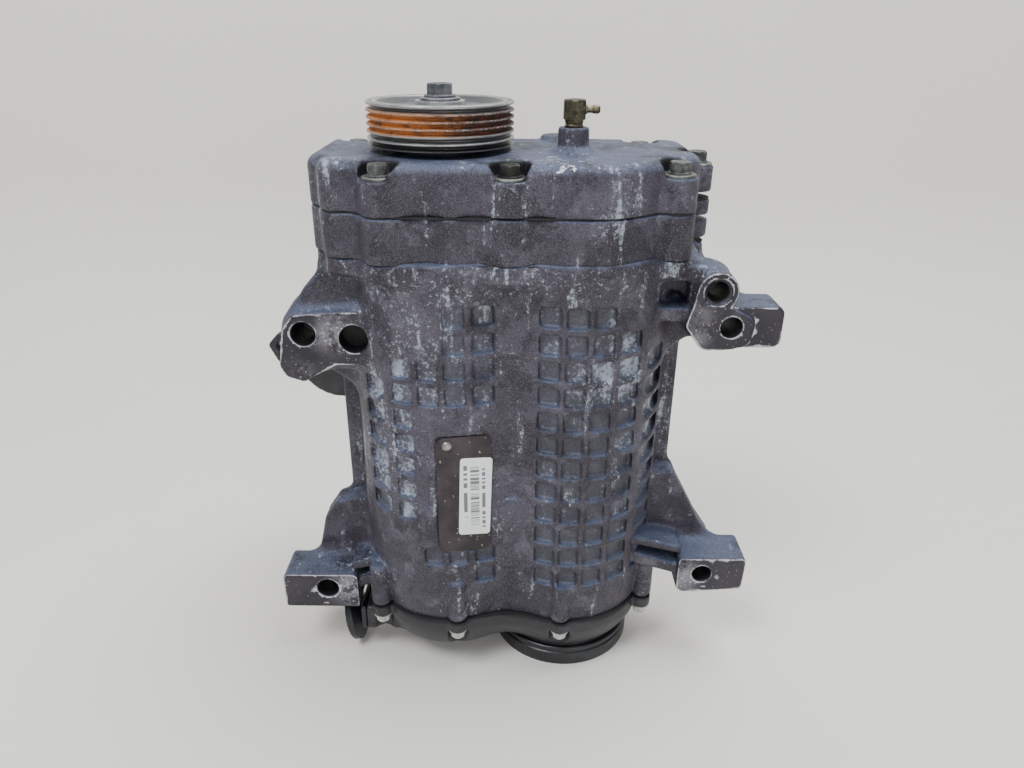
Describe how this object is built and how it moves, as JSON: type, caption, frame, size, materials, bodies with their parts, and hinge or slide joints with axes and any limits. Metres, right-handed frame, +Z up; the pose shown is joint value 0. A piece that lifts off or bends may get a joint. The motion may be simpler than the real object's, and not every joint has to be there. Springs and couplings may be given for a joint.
{
  "type": "twin-screw supercharger",
  "caption": "Belt-driven twin-screw supercharger: waffle-ribbed rotor housing, gear case, ribbed pulley, black air ducts and four mounting ears.",
  "frame": {"origin": "on the female rotor's axis, at the lower end of the inlet collar", "axes": "+Z up both rotor axes towards the pulley, +X to the right seen from the mounting faces, -Y out of the mounting faces"},
  "size_m": [0.32, 0.1535, 0.3636],
  "materials": {
    "cast_alloy": "weathered casting with white oxide",
    "black_cast": "dull black coating",
    "black_plastic": "satin black",
    "gasket": "coated fibre",
    "dark_bolt": "dull speckled zinc",
    "zinc_steel": "worn zinc plate",
    "dark_plate": "dark lacquered sheet",
    "paper_label": "white self-adhesive film",
    "brass": "dark tarnished brass",
    "copper_washer": "dull copper",
    "bearing_steel": "ground steel",
    "seal_rubber": "black rubber",
    "pulley_steel": "bare steel, rusted in the grooves",
    "rotor_alloy": "machined alloy",
    "gear_steel": "hardened steel",
    "cage_brass": "pressed brass"
  },
  "bodies": {
    "casing": {"rotor_housing": "cast_alloy", "gear_case": "cast_alloy", "top_cover": "cast_alloy", "inlet_cover": "black_cast", "inlet_collar": "black_plastic", "bypass_pipe": "black_plastic", "discharge_duct": "black_cast", "cover_gasket": "gasket", "case_gasket": "gasket", "inlet_gasket": "gasket", "discharge_gasket": "gasket", "cover_bolts": "dark_bolt", "cover_bolt_washers": "zinc_steel", "inlet_cover_bolts": "zinc_steel", "discharge_bolts": "zinc_steel", "dowel_pins": "zinc_steel", "id_plate": "dark_plate", "plate_rivet": "zinc_steel", "label": "paper_label", "breather_body": "brass", "breather_barb": "brass", "oil_plug": "zinc_steel", "oil_plug_washer": "copper_washer", "input_bearing_outer": "bearing_steel", "top_bearing_outers": "bearing_steel", "lower_bearing_outers": "bearing_steel", "bearing_retainer": "zinc_steel", "retainer_screws": "dark_bolt", "lower_bearing_caps": "zinc_steel", "cap_screws": "dark_bolt", "input_seal": "seal_rubber", "rotor_seals": "seal_rubber"},
    "drive": {"pulley": "pulley_steel", "pulley_bolt": "dark_bolt", "pulley_washer": "zinc_steel", "input_shaft": "bearing_steel", "coupling_pins": "bearing_steel", "coupling_bushes": "seal_rubber", "male_rotor": "rotor_alloy", "male_shaft": "bearing_steel", "male_gear": "gear_steel", "male_gear_nut": "dark_bolt", "drive_inner_rings": "bearing_steel"},
    "female": {"female_rotor": "rotor_alloy", "female_shaft": "bearing_steel", "female_gear": "gear_steel", "female_gear_nut": "dark_bolt", "female_inner_rings": "bearing_steel"},
    "drive_cages": {"drive_bearing_balls": "bearing_steel", "drive_bearing_cages": "cage_brass"},
    "female_cages": {"female_bearing_balls": "bearing_steel", "female_bearing_cages": "cage_brass"}
  },
  "joints": [
    {"name": "drive_spin", "type": "hinge", "parent": "casing", "child": "drive", "pos_m": [-0.076, 0, 0.18], "axis": [0, 0, 1], "continuous": true},
    {"name": "female_spin", "type": "hinge", "parent": "casing", "child": "female", "pos_m": [0, 0, 0.18], "axis": [0, 0, 1], "continuous": true},
    {"name": "drive_cage_spin", "type": "hinge", "parent": "casing", "child": "drive_cages", "pos_m": [-0.076, 0, 0.18], "axis": [0, 0, 1], "continuous": true},
    {"name": "female_cage_spin", "type": "hinge", "parent": "casing", "child": "female_cages", "pos_m": [0, 0, 0.18], "axis": [0, 0, 1], "continuous": true}
  ],
  "couplings": [
    {"joint": "female_spin", "follows": "drive_spin", "ratio": -0.6},
    {"joint": "drive_cage_spin", "follows": "drive_spin", "ratio": 0.4},
    {"joint": "female_cage_spin", "follows": "drive_spin", "ratio": -0.24}
  ]
}
